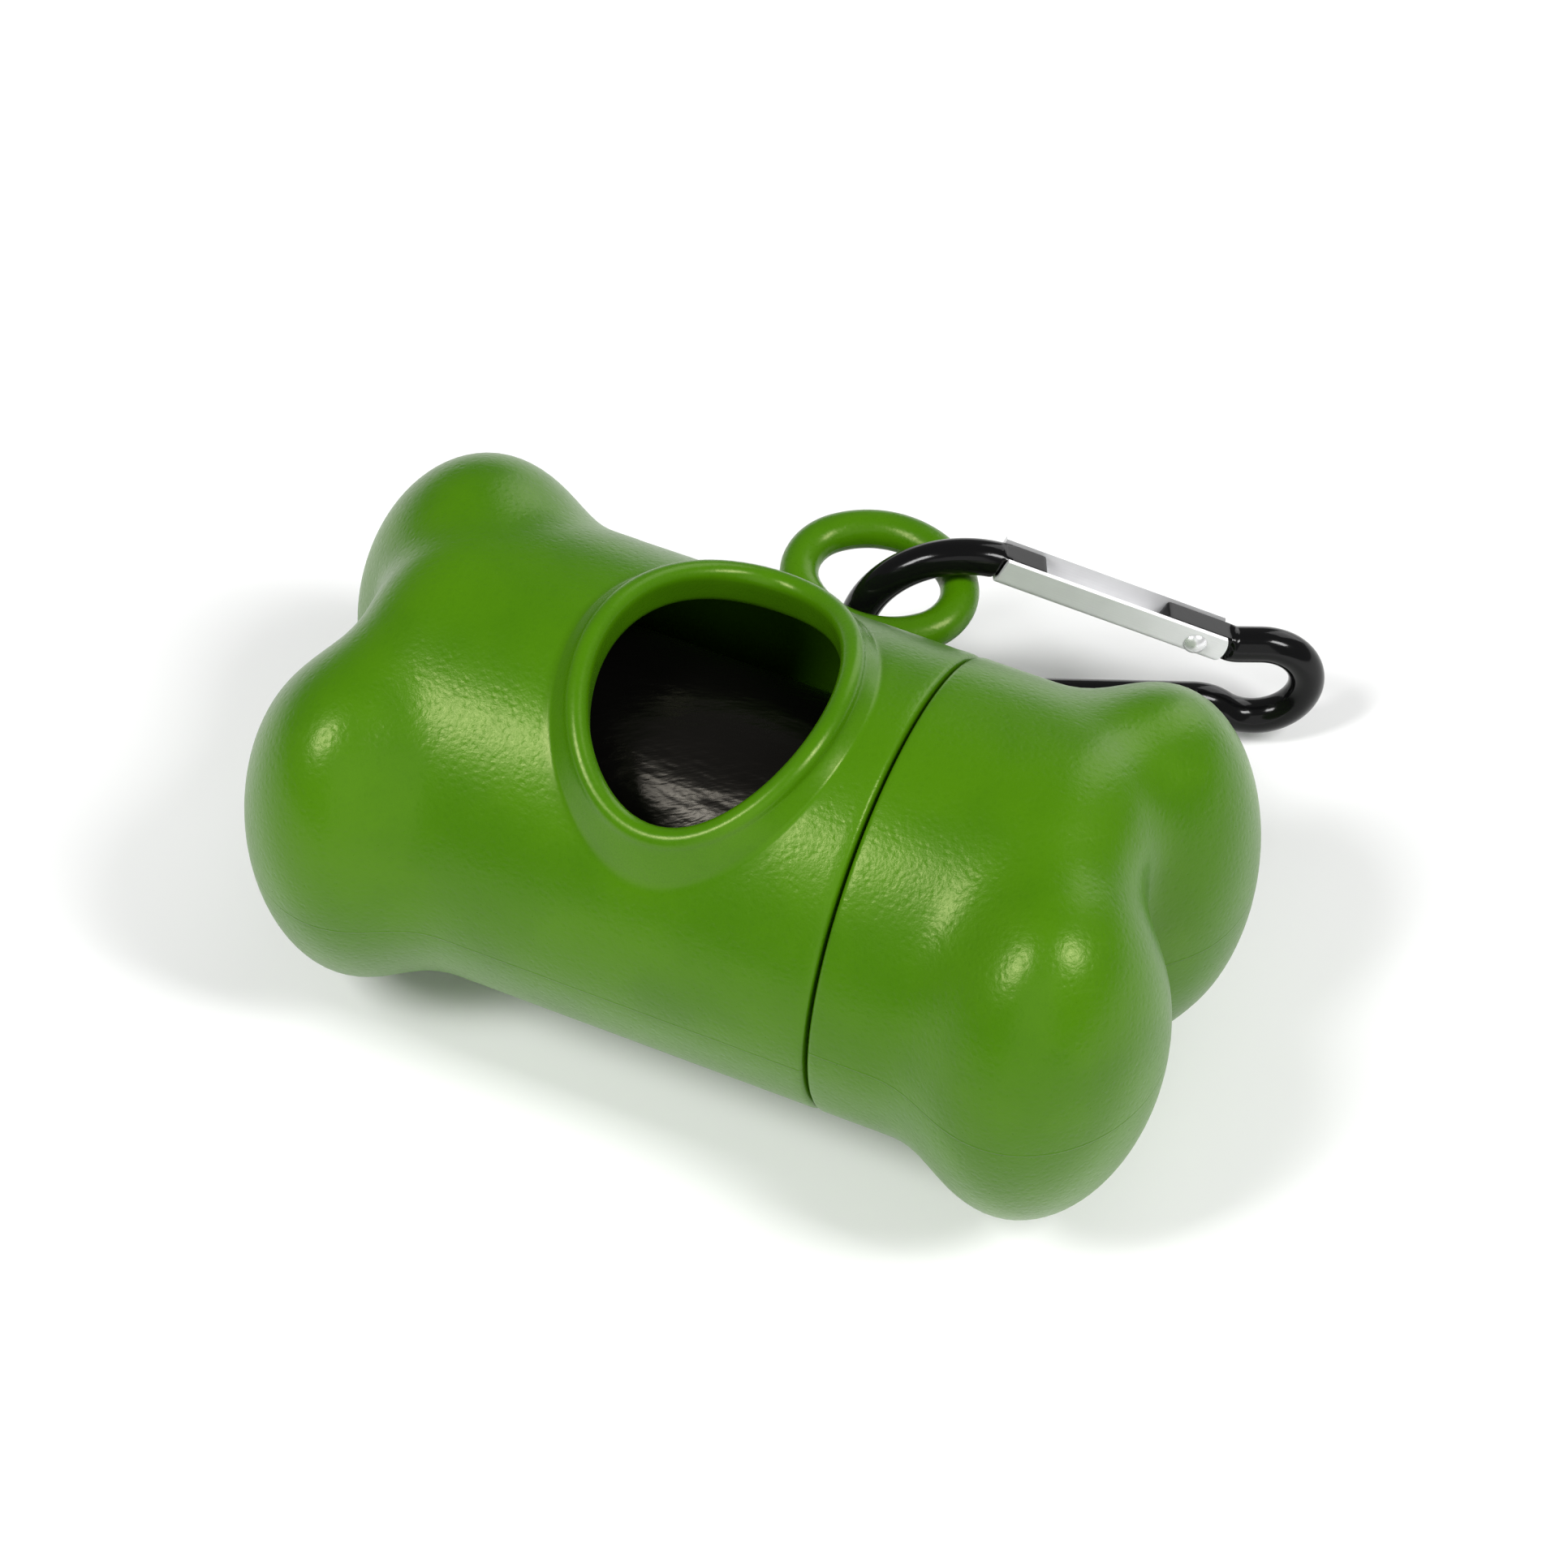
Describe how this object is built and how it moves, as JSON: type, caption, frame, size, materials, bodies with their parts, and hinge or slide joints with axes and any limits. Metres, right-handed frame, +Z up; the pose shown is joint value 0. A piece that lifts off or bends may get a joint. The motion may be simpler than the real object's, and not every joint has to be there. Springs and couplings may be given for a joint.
{
  "type": "waste bag dispenser",
  "caption": "Bone-shaped plastic case that holds a roll of waste bags, feeds them out through an oval mouth, opens at a screw-on end and hangs from a small spring clip.",
  "frame": {"origin": "on the tube's axis, halfway between the flats of the bone's two ends", "axes": "+X along the bone towards the screw-on end, +Y from the axis towards the eyelet, +Z up out of the bag mouth"},
  "size_m": [0.0814, 0.0662, 0.042],
  "materials": {
    "green_shell": "satin",
    "bag_film": "glossy thin film",
    "core_paper": "plain grey-brown board",
    "black_rod": "glossy black over aluminium",
    "gate_metal": "satin",
    "rivet_metal": "polished",
    "spring_steel": "drawn wire"
  },
  "bodies": {
    "shell": {"main_shell": "green_shell"},
    "cap": {"end_cap": "green_shell"},
    "roll": {"bag_roll": "bag_film", "roll_core": "core_paper"},
    "clip": {"carabiner_body": "black_rod", "gate_rivet": "rivet_metal", "gate_spring": "spring_steel"},
    "gate": {"carabiner_gate": "gate_metal"}
  },
  "joints": [
    {"name": "cap_twist", "type": "hinge", "parent": "shell", "child": "cap", "pos_m": [0.0135, 0, 0], "axis": [1, 0, 0], "range_deg": [0, 540]},
    {"name": "roll_spin", "type": "hinge", "parent": "shell", "child": "roll", "pos_m": [-0.002, 0, -0.0021], "axis": [1, 0, 0], "continuous": true},
    {"name": "clip_swing", "type": "hinge", "parent": "shell", "child": "clip", "pos_m": [0.0057, 0.0308, 0], "axis": [0.598, -0.8015, 0], "range_deg": [0, 75]},
    {"name": "gate_hinge", "type": "hinge", "parent": "clip", "child": "gate", "pos_m": [0.02512, 0.03809, -0.00605], "axis": [0.4184, -0.8936, 0.1627], "range_deg": [0, 18], "stiffness_Nm_per_rad": 0.03, "springref_deg": -17.19, "deforming": ["gate_spring"]}
  ]
}
